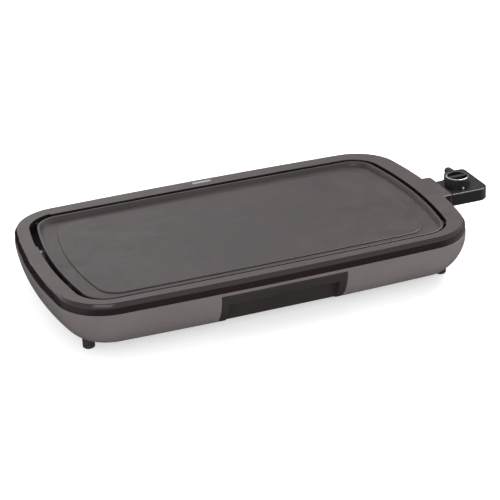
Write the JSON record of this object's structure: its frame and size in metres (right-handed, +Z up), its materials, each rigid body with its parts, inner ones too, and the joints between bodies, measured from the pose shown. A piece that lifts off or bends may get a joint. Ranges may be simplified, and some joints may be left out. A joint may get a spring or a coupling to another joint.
{
  "type": "electric griddle",
  "caption": "Long rectangular electric griddle: coated plate in a rounded frame, curved base, pull-out drip tray and plug-in rotary heat control.",
  "frame": {"origin": "middle of the footprint of the whole appliance, on the surface that the feet stand on", "axes": "+X to the right, the side of the heat control; +Y to the back; +Z up"},
  "size_m": [0.6587, 0.3374, 0.0904],
  "materials": {
    "housing_grey": "satin",
    "frame_black": "gloss",
    "nonstick_plate": "matte non-stick coating",
    "tray_black": "satin",
    "galvanised_sheet": "spangled galvanised",
    "screw_steel": "zinc plated",
    "element_sheath": "oxidised",
    "contact_brass": "polished",
    "ceramic_white": "unglazed",
    "stainless": "drawn",
    "rail_plastic": "moulded",
    "foot_rubber": "moulded",
    "badge_satin": "satin",
    "control_black": "satin gloss",
    "gland_rubber": "moulded",
    "bushing_brass": "turned",
    "bimetal": "rolled",
    "lamp_glass": "clear",
    "lens_amber": "gloss",
    "knob_black": "satin",
    "pointer_white": "satin",
    "ring_chrome": "polished"
  },
  "bodies": {
    "griddle": {"base_housing": "housing_grey", "bottom_cover": "galvanised_sheet", "top_frame": "frame_black", "griddle_plate": "nonstick_plate", "plate_screws": "screw_steel", "name_badge": "badge_satin", "frame_brackets": "galvanised_sheet", "bracket_screws": "screw_steel", "heating_element": "element_sheath", "element_clamps": "galvanised_sheet", "clamp_screws": "screw_steel", "terminal_pins": "contact_brass", "terminal_insulators": "ceramic_white", "probe_socket": "frame_black", "sensor_tube": "stainless", "heat_shield": "galvanised_sheet", "shield_spacers": "stainless", "shield_screws": "screw_steel", "drain_spout": "galvanised_sheet", "tray_rail_left": "rail_plastic", "tray_rail_right": "rail_plastic", "rail_screws": "screw_steel", "cover_screws": "screw_steel", "foot_screws": "screw_steel", "foot_front_left": "foot_rubber", "foot_front_right": "foot_rubber", "foot_rear_left": "foot_rubber", "foot_rear_right": "foot_rubber"},
    "drip_tray": {"drip_tray": "tray_black"},
    "control_probe": {"probe_upper_housing": "control_black", "probe_lower_housing": "control_black", "probe_screws": "screw_steel", "sensing_rod": "stainless", "contact_sleeves": "contact_brass", "contact_block": "rail_plastic", "thermostat_bracket": "stainless", "thermostat_bushing": "bushing_brass", "bimetal_strip": "bimetal", "switch_contacts": "contact_brass", "neon_lamp": "lamp_glass", "indicator_lens": "lens_amber", "cord_gland": "gland_rubber"},
    "knob": {"control_knob": "knob_black", "knob_pointer": "pointer_white", "knob_ring": "ring_chrome", "knob_shaft": "stainless"}
  },
  "joints": [
    {"name": "tray_slide", "type": "slide", "parent": "griddle", "child": "drip_tray", "axis": [0, -1, 0], "range_m": [0, 0.13]},
    {"name": "probe_plug", "type": "slide", "parent": "griddle", "child": "control_probe", "axis": [1, 0, 0], "range_m": [0, 0.115]},
    {"name": "knob_turn", "type": "hinge", "parent": "control_probe", "child": "knob", "pos_m": [0.29235, -0.008, 0.0764], "axis": [0, 0, -1], "range_deg": [0, 280]}
  ]
}
